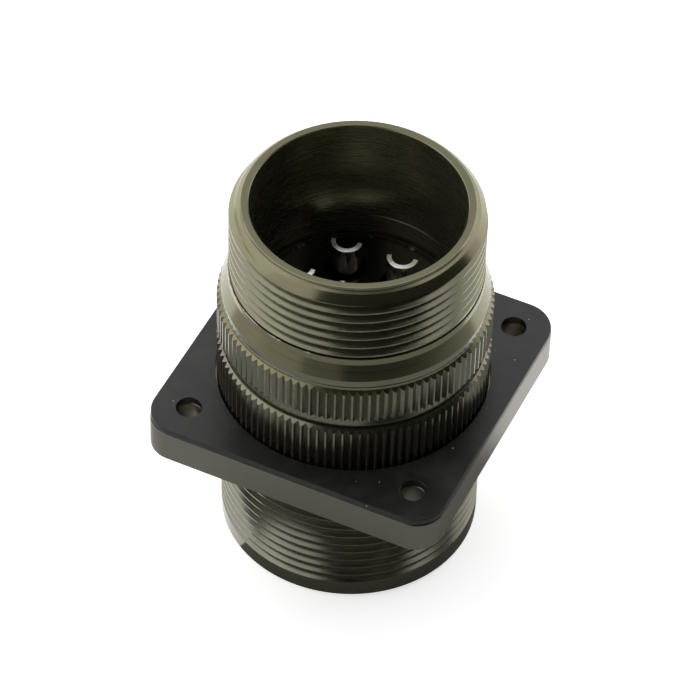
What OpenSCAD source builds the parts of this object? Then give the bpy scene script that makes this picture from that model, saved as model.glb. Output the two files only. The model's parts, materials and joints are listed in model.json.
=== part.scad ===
// Wall mounting circular connector receptacle with a screwed-on end bell.
// It stands on its coupling end: z = 0 is the coupling face, +Z points to the cable end,
// and the square flange lies along X and Y.

/* [Coupling barrel] */
// Length of the coupling barrel, from its face to the flange
coupling_len = 19.3; // [17:0.1:24]
// Radius over the crests of the coupling thread
coupling_r = 15.875; // [15.6:0.005:16.2]
// Radius where the thread's lead-in chamfer meets the coupling face
coupling_lead_r = 15.155; // [14.8:0.005:15.5]
// Radius of the run-out groove between the thread and the flange
coupling_relief_r = 14.9; // [14.4:0.05:15.4]
// Length of that run-out groove
coupling_relief_len = 1.2; // [0.6:0.1:2]
// Radius of the socket that the mating plug enters
socket_r = 13.7; // [13.2:0.05:14]
// Depth of that socket, to the shoulder that stops the inserts
socket_depth = 12; // [10:0.1:12.5]
// Width of the key inside the socket
key_w = 2.4; // [1.6:0.1:4]
// Height of the key above the socket's wall
key_h = 1.2; // [0.6:0.1:1.6]

/* [Flange and gasket] */
// Side of the square flange
flange_w = 38.1; // [37:0.1:42]
// Thickness of the flange
flange_t = 4.3; // [3:0.1:4.5]
// Radius of the flange's upright corners
flange_corner_r = 3.5; // [1:0.1:4.5]
// Distance between the centres of neighbouring screw holes
hole_spacing = 29.36; // [28.8:0.01:30.6]
// Diameter of the screw holes
hole_d = 3.1; // [2.5:0.05:3.6]
// Side of the square gasket
gasket_w = 38.28; // [37:0.02:42]
// Thickness of the gasket
gasket_t = 1; // [0.5:0.1:1.5]
// Radius of the gasket's corners
gasket_corner_r = 4.1; // [1:0.1:4.5]

/* [Knurls] */
// Number of teeth around each knurled band
knurl_teeth = 102; // [60:1:120]
// Radius over the teeth
knurl_r = 16.42; // [16.3:0.01:16.45]
// Depth of the V grooves
knurl_depth = 0.42; // [0.2:0.01:0.45]
// Share of the tooth spacing that stays flat on the crest
crest_share = 0.2; // [0.1:0.05:0.5]
// Direction that one tooth of each band points to
knurl_turn = -66; // [-90:1:90]
// Axial length of the chamfer on the top of each band
knurl_chamfer = 0.42; // [0.2:0.01:0.6]

/* [Rear barrel] */
// Height of the ledge above the lower knurl, where the rear barrel starts
ledge_z = 31.1; // [30.6:0.05:31.4]
// Radius of the rear barrel, over its thread
rear_r = 14.25; // [14:0.01:14.3]
// Radius of the bore that holds the inserts
insert_bore_r = 12.6; // [12.3:0.05:12.7]
// Depth of the retaining ring's groove in that bore
ring_groove_depth = 0.6; // [0.3:0.05:0.8]

/* [End bell] */
// Height of the rim above the coupling face
total_h = 52.5; // [52:0.1:58]
// Radius of the cable entry
entry_r = 12.73; // [12.65:0.01:12.9]
// Radius of the plain skirt below the knurl
skirt_r = 15.65; // [15.3:0.05:15.8]
// Length of that skirt
skirt_len = 1.8; // [1:0.1:2.5]
// Height of the top of the knurled band
bell_knurl_top = 37.85; // [37:0.05:37.9]
// Radius of the bright land above the knurl
land_r = 15.93; // [15.8:0.01:16]
// Height where the land starts to taper in
land_top = 39.25; // [38.8:0.05:39.6]
// Height where the taper ends in a plain collar
taper_top = 41.3; // [40.8:0.05:41.6]
// Height of that collar's upper edge, under the clamp thread
shoulder_z = 42.15; // [41.8:0.05:42.4]
// Radius of the run-out groove above the collar
clamp_relief_r = 14.3; // [14:0.05:14.6]
// Length of that run-out groove
clamp_relief_len = 0.6; // [0.4:0.1:1.2]
// Radius over the crests of the clamp thread
clamp_r = 15.05; // [14.9:0.01:15.2]
// Height of the cone at the clamp thread's end
clamp_cone_h = 1; // [0.8:0.1:1.4]

/* [Inserts and contacts] */
// Height of the front insert's face in the socket
front_face_z = 11; // [8:0.1:12]
// Height of the joint between the two inserts
split_z = 24; // [22:0.1:26]
// Height of the rear insert's face
rear_face_z = 34.75; // [34.6:0.05:35.5]
// Radius of the circle of six contacts
contact_circle_r = 7.1; // [6.6:0.02:7.3]
// Turn of the contacts from the flange's X axis
contact_turn = 4; // [0:1:30]
// Direction that the solder cups open to
cup_opens_to = 101; // [0:1:359]
// Height of the solder cups' tips
cup_tip_z = 39.1; // [38:0.1:42]
// Outside radius of a solder cup
cup_r = 1.9; // [1.7:0.02:2]
// Wall of a solder cup
cup_wall = 0.48; // [0.3:0.02:0.6]
// Depth of a solder cup's bore
cup_depth = 7.4; // [6:0.1:9]
// Height of the scoop cut away from one side of a cup
scoop_h = 3.4; // [2:0.1:4]
// Radius of a contact pin
pin_r = 1.19; // [0.8:0.01:1.3]
// Height of the pins' tips behind the coupling face
pin_tip_z = 2; // [1:0.1:5]

/* [Hidden] */
$fn = 96;
eps = 0.01;          // overlap of cutting solids past the faces they cut
gap = 0.05;          // radial play between pieces that are pushed together
far = 60;            // longer than any cut
flange_top = coupling_len + flange_t;
gasket_top = flange_top + gasket_t;
knurl_root_r = knurl_r - knurl_depth;
chamfer_end_r = knurl_root_r - 0.06;
barrel_top = 38 - gap;
stop_r = 11.6;       // bore through the shoulder that stops the inserts
stop_t = 1.5;        // thickness of that shoulder
insert_r = insert_bore_r - gap;
boss_r = insert_r - 0.55;
ring_t = 0.7;
ring_z = 33.6;
ring_outer_r = insert_bore_r + ring_groove_depth - 0.1;
ring_inner_r = boss_r + 0.1;
ring_gap_w = 4;
bell_bottom = ledge_z + gap;
bell_knurl_bottom = bell_bottom + skirt_len;
bell_stop_z = barrel_top + gap;
clamp_bottom = shoulder_z + clamp_relief_len;
clamp_top = total_h - 0.5 - clamp_cone_h;
rim_r = 13.75;       // outer edge of the flat rim
rim_step_r = 14.32;  // lower edge of the sloped band under the rim
collar_r = 2.3;      // collar that holds a contact between the inserts
collar_h = 4;
well_r = 2.5;        // well around each cup in the rear insert's face
well_depth = 1.4;
anodised = [0.36, 0.35, 0.27];
moulded_black = [0.06, 0.06, 0.07];

// A solid of revolution about Z from an outline of [radius, height] points.
module turned(outline) {
  rotate_extrude() polygon(outline);
}

// A square plate with round upright corners, its lower face at z.
module rounded_plate(side, corner_r, thickness, z) {
  inner = side - 2 * corner_r;
  translate([0, 0, z]) linear_extrude(thickness) {
    square([side, inner], center = true);
    square([inner, side], center = true);
    for (x = [-1, 1], y = [-1, 1])
      translate([x * inner / 2, y * inner / 2]) circle(corner_r);
  }
}

// The four screw holes, cut from z through a plate of the given thickness.
module screw_holes(z, thickness) {
  for (x = [-1, 1], y = [-1, 1])
    translate([x * hole_spacing / 2, y * hole_spacing / 2, z - eps])
      cylinder(r = hole_d / 2, h = thickness + 2 * eps);
}

function polar(r, a) = [r * cos(a), r * sin(a)];

// Outline of a straight knurl: one V groove and one flat crest for each tooth.
function knurl_outline() = [
  for (i = [0 : knurl_teeth - 1])
    let (step = 360 / knurl_teeth, half = crest_share / 2)
      each [polar(knurl_r, knurl_turn + (i - half) * step),
            polar(knurl_r, knurl_turn + (i + half) * step),
            polar(knurl_root_r, knurl_turn + (i + 0.5) * step)]
];

// A knurled band from z0 to z1 with its upper edge chamfered down to the roots.
module knurled_band(z0, z1) {
  slope = knurl_chamfer / (knurl_r - chamfer_end_r);
  cutter_r = knurl_r + 1;
  intersection() {
    translate([0, 0, z0]) linear_extrude(z1 - z0) polygon(knurl_outline());
    turned([[0, z0 - 1], [cutter_r, z0 - 1],
            [cutter_r, z1 - slope * (cutter_r - chamfer_end_r)],
            [chamfer_end_r, z1], [0, z1]]);
  }
}

// The key that lets the mating plug in one way round only.
module socket_key() {
  lead_in = 1.5;
  intersection() {
    translate([-key_w / 2, socket_r - key_h, lead_in])
      cube([key_w, key_h + 1, socket_depth - lead_in + eps]);
    cylinder(r = socket_r + 0.5, h = socket_depth + 1);
  }
}

// One turned and milled piece: coupling barrel, flange, lower knurl and rear barrel.
module receptacle_shell() {
  lead_h = coupling_r - coupling_lead_r;
  relief_z = coupling_len - coupling_relief_len;
  groove_r = insert_bore_r + ring_groove_depth;
  color(anodised) {
    difference() {
      union() {
        turned([[0, 0], [coupling_lead_r, 0], [coupling_r, lead_h],
                [coupling_r, relief_z - 0.5], [coupling_relief_r, relief_z],
                [coupling_relief_r, coupling_len + 1], [rear_r, coupling_len + 1],
                [rear_r, barrel_top - 0.4], [rear_r - 0.4, barrel_top], [0, barrel_top]]);
        rounded_plate(flange_w, flange_corner_r, flange_t, coupling_len);
        knurled_band(flange_top - 1, ledge_z);
      }
      screw_holes(coupling_len, flange_t);
      turned([[0, -1], [socket_r + 1.3, -1], [socket_r, 0.3], [socket_r, socket_depth],
              [stop_r, socket_depth], [stop_r, socket_depth + stop_t],
              [insert_bore_r, socket_depth + stop_t], [insert_bore_r, ring_z - gap],
              [groove_r, ring_z - gap], [groove_r, ring_z + ring_t + gap],
              [insert_bore_r, ring_z + ring_t + gap], [insert_bore_r, far], [0, far]]);
    }
    socket_key();
  }
}

// The end bell: skirt, knurled grip, tapered land, collar and clamp thread.
module end_bell() {
  groove = 0.1;      // fine turned line between the grip and the land
  groove_z = bell_knurl_top + 0.4;
  color(anodised) difference() {
    union() {
      turned([[0, bell_bottom], [skirt_r, bell_bottom], [skirt_r, bell_knurl_bottom + 1],
              [chamfer_end_r, bell_knurl_bottom + 1], [chamfer_end_r, groove_z],
              [chamfer_end_r - groove, groove_z + groove / 2], [land_r, groove_z + groove],
              [land_r, land_top], [clamp_r + 0.1, taper_top],
              [clamp_r + 0.1, shoulder_z - 0.05], [clamp_r + 0.05, shoulder_z],
              [clamp_relief_r, shoulder_z], [clamp_relief_r, clamp_bottom - 0.3],
              [clamp_r, clamp_bottom],
              [clamp_r, clamp_top], [rim_step_r, clamp_top + clamp_cone_h],
              [rim_r + 0.17, total_h - 0.08], [rim_r, total_h], [0, total_h]]);
      knurled_band(bell_knurl_bottom, bell_knurl_top);
    }
    turned([[0, 0], [rear_r + gap, 0], [rear_r + gap, bell_stop_z],
            [entry_r, bell_stop_z], [entry_r, total_h - 0.25],
            [entry_r + 0.25, total_h], [entry_r + 0.25, far], [0, far]]);
  }
}

// The rubber gasket that lies on the flange around the knurled body.
module flange_gasket() {
  bore_r = knurl_r + 0.18;
  color([0.05, 0.05, 0.05]) difference() {
    rounded_plate(gasket_w, gasket_corner_r, gasket_t, flange_top);
    screw_holes(flange_top, gasket_t);
    translate([0, 0, flange_top - eps]) cylinder(r = bore_r, h = gasket_t + 2 * eps);
  }
}

// Places children at the centre contact, then at the six around it.
module at_contact(i) {
  place = i == 0 ? [0, 0] : polar(contact_circle_r, contact_turn + 60 * (i - 1));
  translate([place.x, place.y, 0]) children();
}

// Front insert: a stepped disc whose nose stands in the socket.
module front_insert() {
  shoulder = socket_depth + stop_t;
  color(moulded_black) difference() {
    turned([[0, front_face_z], [stop_r - gap, front_face_z], [stop_r - gap, shoulder],
            [insert_r, shoulder], [insert_r, split_z], [0, split_z]]);
    for (i = [0 : 6]) at_contact(i) {
      translate([0, 0, front_face_z - eps]) cylinder(r = pin_r + gap, h = far);
      translate([0, 0, split_z - collar_h]) cylinder(r = collar_r + gap, h = far);
    }
  }
}

// Rear insert: a disc with a round well about each solder cup.
module rear_insert() {
  color(moulded_black) difference() {
    turned([[0, split_z], [insert_r, split_z], [insert_r, ring_z],
            [boss_r, ring_z], [boss_r, rear_face_z], [0, rear_face_z]]);
    for (i = [0 : 6]) at_contact(i) {
      translate([0, 0, split_z - eps]) cylinder(r = cup_r + gap, h = far);
      translate([0, 0, rear_face_z - well_depth]) cylinder(r = well_r, h = far);
    }
  }
}

// Split spring ring that holds the inserts in the shell.
module insert_ring() {
  color([0.3, 0.3, 0.3]) difference() {
    translate([0, 0, ring_z]) cylinder(r = ring_outer_r, h = ring_t);
    translate([0, 0, ring_z - 1]) cylinder(r = ring_inner_r, h = ring_t + 2);
    translate([ring_inner_r - 2, -ring_gap_w / 2, ring_z - 1])
      cube([far, ring_gap_w, ring_t + 2]);
  }
}

// The half of a solder cup that is milled away, with the cutter's round run-out.
module scoop() {
  run_out = cup_r;
  bottom = cup_tip_z - scoop_h;
  rotate(cup_opens_to) {
    translate([0, -cup_r - 1, bottom + run_out])
      cube([cup_r + 1, 2 * cup_r + 2, scoop_h]);
    translate([run_out, 0, bottom + run_out]) rotate([90, 0, 0])
      cylinder(r = run_out, h = 2 * cup_r + 2, center = true);
  }
}

// A turned contact: pin, collar between the inserts, and solder cup.
module contact(i) {
  collar_z = split_z - collar_h;
  tip_r = pin_r - 0.5;
  color([0.85, 0.82, 0.7]) at_contact(i) difference() {
    turned([[0, pin_tip_z], [tip_r, pin_tip_z], [pin_r, pin_tip_z + 0.8],
            [pin_r, collar_z + gap], [collar_r, collar_z + gap], [collar_r, split_z - gap],
            [cup_r, split_z - gap], [cup_r, cup_tip_z], [0, cup_tip_z]]);
    turned([[0, cup_tip_z - cup_depth], [cup_r - cup_wall, cup_tip_z - cup_depth + 0.8],
            [cup_r - cup_wall, cup_tip_z + 1], [0, cup_tip_z + 1]]);
    scoop();
  }
}

receptacle_shell();
end_bell();
flange_gasket();
front_insert();
rear_insert();
insert_ring();
contact(0);  // contact_a
contact(1);  // contact_b
contact(2);  // contact_c
contact(3);  // contact_d
contact(4);  // contact_e
contact(5);  // contact_f
contact(6);  // contact_g
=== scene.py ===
"""Looks of a wall mounting circular connector receptacle with a screwed-on end bell.

Laid out as a Blender add-on and run as a script: one operator makes each piece.
"""

import json
import math

import bmesh
import bpy
from bpy.props import FloatProperty, IntProperty, PointerProperty, StringProperty
from bpy.types import Operator, Panel, PropertyGroup
from mathutils import Matrix, Vector


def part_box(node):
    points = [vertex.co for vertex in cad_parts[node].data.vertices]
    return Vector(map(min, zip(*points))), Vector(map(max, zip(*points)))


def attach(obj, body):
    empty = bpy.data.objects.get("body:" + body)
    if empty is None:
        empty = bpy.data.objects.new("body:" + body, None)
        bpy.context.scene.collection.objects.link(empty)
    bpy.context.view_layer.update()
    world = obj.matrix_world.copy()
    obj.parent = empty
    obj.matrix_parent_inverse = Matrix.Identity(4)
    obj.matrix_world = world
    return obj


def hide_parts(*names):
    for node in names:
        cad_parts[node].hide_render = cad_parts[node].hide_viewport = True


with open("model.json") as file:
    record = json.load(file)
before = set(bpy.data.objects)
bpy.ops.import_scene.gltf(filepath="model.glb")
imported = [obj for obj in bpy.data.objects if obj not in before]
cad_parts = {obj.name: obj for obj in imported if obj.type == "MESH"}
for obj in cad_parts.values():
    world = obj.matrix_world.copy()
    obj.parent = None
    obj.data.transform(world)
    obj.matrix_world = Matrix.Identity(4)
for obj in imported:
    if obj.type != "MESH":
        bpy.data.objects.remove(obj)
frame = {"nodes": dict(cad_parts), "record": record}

bl_info = {
    "name": "Circular Connector",
    "version": (1, 0, 0),
    "blender": (4, 5, 0),
    "location": "View3D > Sidebar > Connector",
    "description": "Builds a circular connector receptacle with its end bell",
    "category": "Add Mesh",
}

MM = 0.001
MOUNTS = {m["name"]: m for m in frame["record"]["mounts"]}
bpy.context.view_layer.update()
SHELL_LO, SHELL_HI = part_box("receptacle_shell")
BELL_LO, BELL_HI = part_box("end_bell")
GASKET_LO, GASKET_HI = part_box("flange_gasket")
FRONT_LO, FRONT_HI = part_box("front_insert")
REAR_LO, REAR_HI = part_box("rear_insert")
RING_LO, RING_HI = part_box("insert_ring")
CUP_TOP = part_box("contact_a")[1].z
CONTACTS = sorted(n for n in frame["nodes"] if n.startswith("contact_"))
STOP_R, STOP_LEN = 11.6 * MM, 1.5 * MM    # the stop that the front insert rests on
CONE_LEN = 1.5 * MM                       # the end bell's cone and rim


def mount_r(name):
    """Radius of a round mount in metres."""
    return MOUNTS[name]["dims"]["r_mm"] * MM


def length(name, text, default, **extra):
    """A length property in metres, given in millimetres."""
    return FloatProperty(name=name, description=text, default=default * MM,
                         unit="LENGTH", precision=5, **extra)


def colour(name, text, code):
    """A colour property whose default is an sRGB hex value."""
    return StringProperty(name=name, description=text, default=code)


def linear(code):
    """Linear RGBA of an sRGB hex value such as #5a563f."""
    values = [int(code[i:i + 2], 16) / 255 for i in (1, 3, 5)]
    return [v / 12.92 if v <= 0.04045 else ((v + 0.055) / 1.055) ** 2.4
            for v in values] + [1.0]


# ---------------------------------------------------------------- properties

class ThreadSizes(PropertyGroup):
    """The threads: one groove section, and the height that each starts at."""

    pitch: length("Pitch", "Axial distance from one crest to the next", 25.4 / 18)
    depth: length("Depth", "Radial depth of the thread grooves", 0.85)
    crest: length("Crest", "Width of the flat on each crest", 0.18)
    clamp_edge_z: length("Clamp crest", "Height of a crest's lower edge, "
                         "where the clamp thread faces the phase direction", 49.54)
    coupling_edge_z: length("Coupling crest", "Height of a crest's lower edge on "
                            "the coupling thread at the same place", 8.53)
    clamp_end_z: length("Clamp run-out", "Height where the clamp thread's groove "
                        "runs out in the cone", 51.68)
    coupling_start_z: length("Coupling start", "Height where the coupling thread's "
                             "groove starts above the lead-in", 2.9)
    fade: FloatProperty(name="Fade", description="Turn over which a groove runs out",
                        default=math.radians(60), subtype="ANGLE")
    phase: FloatProperty(name="Phase direction", default=math.radians(-66),
                         description="Direction that the crest heights are given for",
                         subtype="ANGLE")


class KnurlSizes(PropertyGroup):
    """The straight V knurling of the shell and the end bell."""

    teeth: IntProperty(name="Teeth", description="Teeth around each band", default=102)
    depth: length("Depth", "Depth of the V grooves", 0.42)
    chamfer: length("Chamfer", "Axial length of the bands' upper chamfer", 0.42)


class ShellSizes(PropertyGroup):
    """The receptacle's shell, its key and the gasket's corners."""

    flange_z: length("Flange", "Height of the flange's lower face", 19.3)
    lead_r: length("Lead-in radius", "Radius of the coupling face's edge", 15.155)
    relief_r: length("Relief radius", "Radius of the coupling run-out groove", 14.95)
    socket_r: length("Socket radius", "Radius of the socket for the plug", 13.7)
    socket_depth: length("Socket depth", "Depth of the socket", 12)
    corner_r: length("Corner radius", "Radius of the flange's corners", 3.5)
    gasket_corner_r: length("Gasket corner", "Radius of the gasket's corners", 4.1)
    hole_chamfer: length("Hole chamfer", "Chamfer around the screw holes", 0.12)
    ledge_z: length("Ledge", "Height of the ledge above the lower knurl", 31.1)
    rear_r: length("Rear radius", "Radius of the rear barrel's crests", 14.25)
    rear_edge_z: length("Rear crest", "Height of a crest's lower edge on the rear "
                        "barrel, where it faces the phase direction", 34.1)
    insert_r: length("Insert bore", "Radius of the bore that holds the inserts", 12.6)
    key_w: length("Key width", "Width of the key in the socket", 2.4)
    key_h: length("Key height", "Height of the key in the socket", 1.2)


class BellSizes(PropertyGroup):
    """The end bell, from its skirt up to the rim."""

    entry_r: length("Cable entry", "Radius of the cable entry", 12.73)
    skirt_r: length("Skirt radius", "Radius of the plain skirt under the grip", 15.65)
    grip_z0: length("Grip bottom", "Height of the knurled grip's lower end", 32.95)
    grip_z1: length("Grip top", "Height of the knurled grip's upper end", 37.85)
    land_r: length("Land radius", "Radius of the bright land above the grip", 15.93)
    land_z: length("Land top", "Height where the land starts to taper", 39.25)
    taper_top: length("Taper top", "Height where the taper ends in a collar", 41.3)
    shoulder_z: length("Shoulder", "Height of the collar's upper edge", 42.15)
    relief_r: length("Relief radius", "Radius of the run-out groove", 14.62)
    relief_len: length("Relief length", "Length of the run-out groove", 0.29)
    rim_r: length("Rim radius", "Outer radius of the flat rim", 13.68)
    rim_step: length("Rim step", "Height of the step under the rim's edge", 0.35)
    ledge_r: length("Ledge radius", "Outer radius of the sloping ledge under it", 14.15)
    ledge_drop: length("Ledge drop", "Fall of that ledge to its outer edge", 0.2)
    socket_r: length("Socket crest radius", "Radius over the inner thread's crests", 13.6)


class InsertSizes(PropertyGroup):
    """The moulded inserts."""

    well_r: length("Well radius", "Radius of the well around each solder cup", 2.5)
    well_depth: length("Well depth", "Depth of those wells", 1.4)
    boss_r: length("Boss radius", "Radius of the rear insert's raised face", 12.0)


class ContactSizes(PropertyGroup):
    """The pin contacts with their solder cups."""

    pin_r: length("Pin radius", "Radius of the contact pins", 1.19)
    collar_r: length("Collar radius", "Radius of the collar between the inserts", 2.3)
    cup_r: length("Cup radius", "Outside radius of the solder cups", 1.9)
    cup_wall: length("Cup wall", "Wall of the solder cups", 0.58)
    cup_depth: length("Cup depth", "Depth of the solder cups", 7.4)
    scoop: length("Scoop", "Height cut away from one side of a cup", 3.4)
    opens_to: FloatProperty(name="Opening", default=math.radians(101), subtype="ANGLE",
                            description="Direction that the solder cups open to")


class Finishes(PropertyGroup):
    """Colours of the finishes, as sRGB hex values."""

    olive: colour("Olive", "Olive drab chromate film, its greener parts", "#7c7b5e")
    brown: colour("Brown olive", "Olive drab chromate film, its browner parts", "#827c63")
    machined: colour("Thin film", "Greyer film on the threads and the flange", "#7e7c71")
    # Also lightens the bell rim's edge, where it is partly a painted highlight.
    bare: colour("Worn edge", "Metal that shows along handled edges", "#b3ad95")
    # Also the colour of the painted shade on the bell's flat rim.
    rubber: colour("Rubber", "Gasket rubber", "#1e1e1d")
    worn_rubber: colour("Worn rubber", "Chalky bloom on the rubber", "#32322f")
    plastic: colour("Insert plastic", "Moulded inserts", "#0b0b0d")
    plate: colour("Silver plate", "Plated contacts", "#f6f4ef")
    tarnish: colour("Tarnish", "Yellowed silver plate", "#d6c9a2")
    steel: colour("Blackened steel", "Retaining ring", "#3a3937")
    # Also the light of the burrs on the bell's collar, a painted highlight.
    dust: colour("Dust", "Specks of dust and lint", "#cfccc2")


class StageSettings(PropertyGroup):
    """The camera, and the studio's screens, cards and cloths."""

    azimuth: FloatProperty(name="Azimuth", default=math.radians(24), subtype="ANGLE",
                           description="Direction that the camera looks from")
    elevation: FloatProperty(name="Elevation", default=math.radians(46.857),
                             subtype="ANGLE", description="Height of the camera's view")
    roll: FloatProperty(name="Roll", default=math.radians(1.841), subtype="ANGLE",
                        description="Turn of the camera about its view")
    distance: length("Distance", "From the camera to its target", 473.69)
    target_x: length("Target across", "Sideways place of the camera's target", -1.051)
    target_z: length("Target height", "Height of the camera's target", 31.34)
    focal: FloatProperty(name="Focal length", description="In millimetres",
                         default=204.46)
    shift_x: FloatProperty(name="Shift across", default=0.0062,
                           description="Sideways shift of the camera's frame")
    shift_y: FloatProperty(name="Shift up", default=-0.0315,
                           description="Upward shift of the camera's frame")
    dark_from: FloatProperty(name="Dark from", default=math.radians(-33), subtype="ANGLE",
                             description="Start of the dark screen from the camera's side")
    dark_to: FloatProperty(name="Dark to", default=math.radians(99), subtype="ANGLE",
                           description="End of the dark screen from the camera's side")
    dark_step: FloatProperty(name="Dark step", default=math.radians(62), subtype="ANGLE",
                             description="Where the dark screen gets lower")
    dark_radius: length("Screen radius", "From the connector to the dark screen", 220)
    dark_height: length("Screen height", "Height of the dark screen", 390)
    low_height: length("Low screen", "Height of the dark screen's lower part", 275)
    canopy_radius: length("Canopy radius", "From the axis to the canopy's inner edge", 110)
    near_radius: length("Near card", "Where the dark table card starts", 16)
    card_radius: length("Grey card", "Where the grey table card starts", 34)
    black_cloth: colour("Dark cloth", "Cloth of the dark screen and canopy", "#2c312a")
    grey_cloth: colour("Grey cloth", "Cloth of the side cards", "#8c8c8c")
    # Painted shade: this grey and the next stand for the floor's shade around the
    # connector, seen only in reflections.
    near_cloth: colour("Near cloth", "Cloth on the table by the connector", "#a5a59e")
    table_cloth: colour("Table cloth", "Cloth on the table past it", "#dcdcdc")
    far_cloth: colour("Far cloth", "Cloth on the table outside the screen", "#f6f6f6")


# ---------------------------------------------------------------- modelling

def deselect():
    """Leaves object mode with nothing selected."""
    if bpy.context.mode != "OBJECT":
        bpy.ops.object.mode_set(mode="OBJECT")
    bpy.ops.object.select_all(action="DESELECT")


def activate(piece):
    """Makes a piece the only selected and the active one."""
    deselect()
    piece.select_set(True)
    bpy.context.view_layer.objects.active = piece


def apply_place(piece):
    """Moves a piece's place into its mesh."""
    activate(piece)
    bpy.ops.object.transform_apply(location=True, rotation=True, scale=True)


def edit(piece, mode="EDGE"):
    """Enters edit mode on a piece with nothing selected."""
    activate(piece)
    bpy.ops.object.mode_set(mode="EDIT")
    bpy.ops.mesh.select_mode(type=mode)
    bpy.ops.mesh.select_all(action="DESELECT")


def tidy_mesh(piece):
    """Merges doubles and turns every face outwards."""
    edit(piece)
    bpy.ops.mesh.select_all(action="SELECT")
    bpy.ops.mesh.remove_doubles(threshold=1e-6)
    bpy.ops.mesh.normals_make_consistent(inside=False)
    deselect()


def block(place, size):
    """A box with its middle at a place."""
    deselect()
    bpy.ops.mesh.primitive_cube_add(size=1, location=place, scale=size)
    piece = bpy.context.object
    apply_place(piece)
    return piece


def eased(outline, ease):
    """An outline of [radius, height] points with its inner corners slightly rounded."""
    points = [outline[0]]
    for before, corner, after in zip(outline, outline[1:], outline[2:]):
        before, corner, after = Vector(before), Vector(corner), Vector(after)
        back, on = before - corner, after - corner
        if math.pi - back.angle(on) < math.radians(12):
            points.append(tuple(corner))
            continue
        reach = min(ease, back.length * 0.4, on.length * 0.4)
        start, end = corner + back.normalized() * reach, corner + on.normalized() * reach
        for step in range(5):
            t = step / 4
            point = start * (1 - t) ** 2 + corner * 2 * t * (1 - t) + end * t ** 2
            points.append(tuple(point))
    return points + [outline[-1]]


def turned(outline, segments=256, ease=0.0):
    """A solid turned about Z: a circle pulled through [radius, height] points."""
    if ease:
        outline = eased(outline, ease)
    deselect()
    first_r, first_z = outline[0]
    bpy.ops.mesh.primitive_circle_add(vertices=segments, radius=first_r,
                                      fill_type="NGON", location=(0, 0, 0))
    piece = bpy.context.object
    bpy.ops.object.mode_set(mode="EDIT")
    bpy.ops.mesh.select_all(action="SELECT")
    bpy.ops.transform.translate(value=(0, 0, first_z))
    radius, height = first_r, first_z
    for next_r, next_z in outline[1:]:
        bpy.ops.mesh.extrude_region_move(
            TRANSFORM_OT_translate={"value": (0, 0, next_z - height)})
        share = next_r / radius
        bpy.ops.transform.resize(value=(share, share, 1), center_override=(0, 0, 0))
        radius, height = next_r, next_z
    deselect()
    tidy_mesh(piece)
    return piece


def boolean(piece, tool, operation="DIFFERENCE"):
    """Cuts, joins or keeps what is common with another solid, which is used up."""
    activate(piece)
    change = piece.modifiers.new("cut", "BOOLEAN")
    change.operation = operation
    change.solver = "EXACT"
    change.object = tool
    bpy.ops.object.modifier_apply(modifier=change.name)
    bpy.data.objects.remove(tool)


def knurled_disc(z0, z1, sizes, crest_r, phase):
    """A disc with straight V knurling and a chamfered upper edge."""
    deselect()
    points = 5                       # two on the crest, one in the root, two between
    root_r = crest_r - sizes.depth
    bpy.ops.mesh.primitive_circle_add(vertices=points * sizes.teeth, radius=crest_r,
                                      fill_type="NGON", location=(0, 0, 0))
    piece = bpy.context.object
    piece.name = "knurled_disc"
    for place, radius in ((2, (crest_r + root_r) / 2), (3, root_r),
                          (4, (crest_r + root_r) / 2)):
        edit(piece, "VERT")
        mesh = bmesh.from_edit_mesh(piece.data)
        mesh.verts.ensure_lookup_table()
        for index in range(place, len(mesh.verts), points):
            mesh.verts[index].select_set(True)
        bmesh.update_edit_mesh(piece.data)
        share = radius / crest_r
        bpy.ops.transform.resize(value=(share, share, 1), center_override=(0, 0, 0))
    bpy.ops.mesh.select_all(action="SELECT")
    bpy.ops.transform.translate(value=(0, 0, z0))
    bpy.ops.mesh.extrude_region_move(TRANSFORM_OT_translate={"value": (0, 0, z1 - z0)})
    deselect()
    first = piece.data.vertices[0].co
    half_crest = math.radians(0.5 * 360 / sizes.teeth / points)
    start = math.atan2(first.y, first.x)
    second = piece.data.vertices[1].co
    way = 1 if math.atan2(second.y, second.x) > start else -1
    piece.data.transform(Matrix.Rotation(phase - start - way * half_crest, 4, "Z"))
    tidy_mesh(piece)
    reach = 1.0 * MM
    slope = sizes.chamfer / (sizes.depth + 0.06 * MM)
    end_r = root_r - 0.06 * MM
    wide_r = crest_r + reach
    cone = turned([(wide_r, z0 - reach), (wide_r, z1 - slope * (wide_r - end_r)),
                   (end_r, z1), (end_r - 2 * reach, z1)], 408)
    boolean(piece, cone, "INTERSECT")
    return piece


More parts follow.
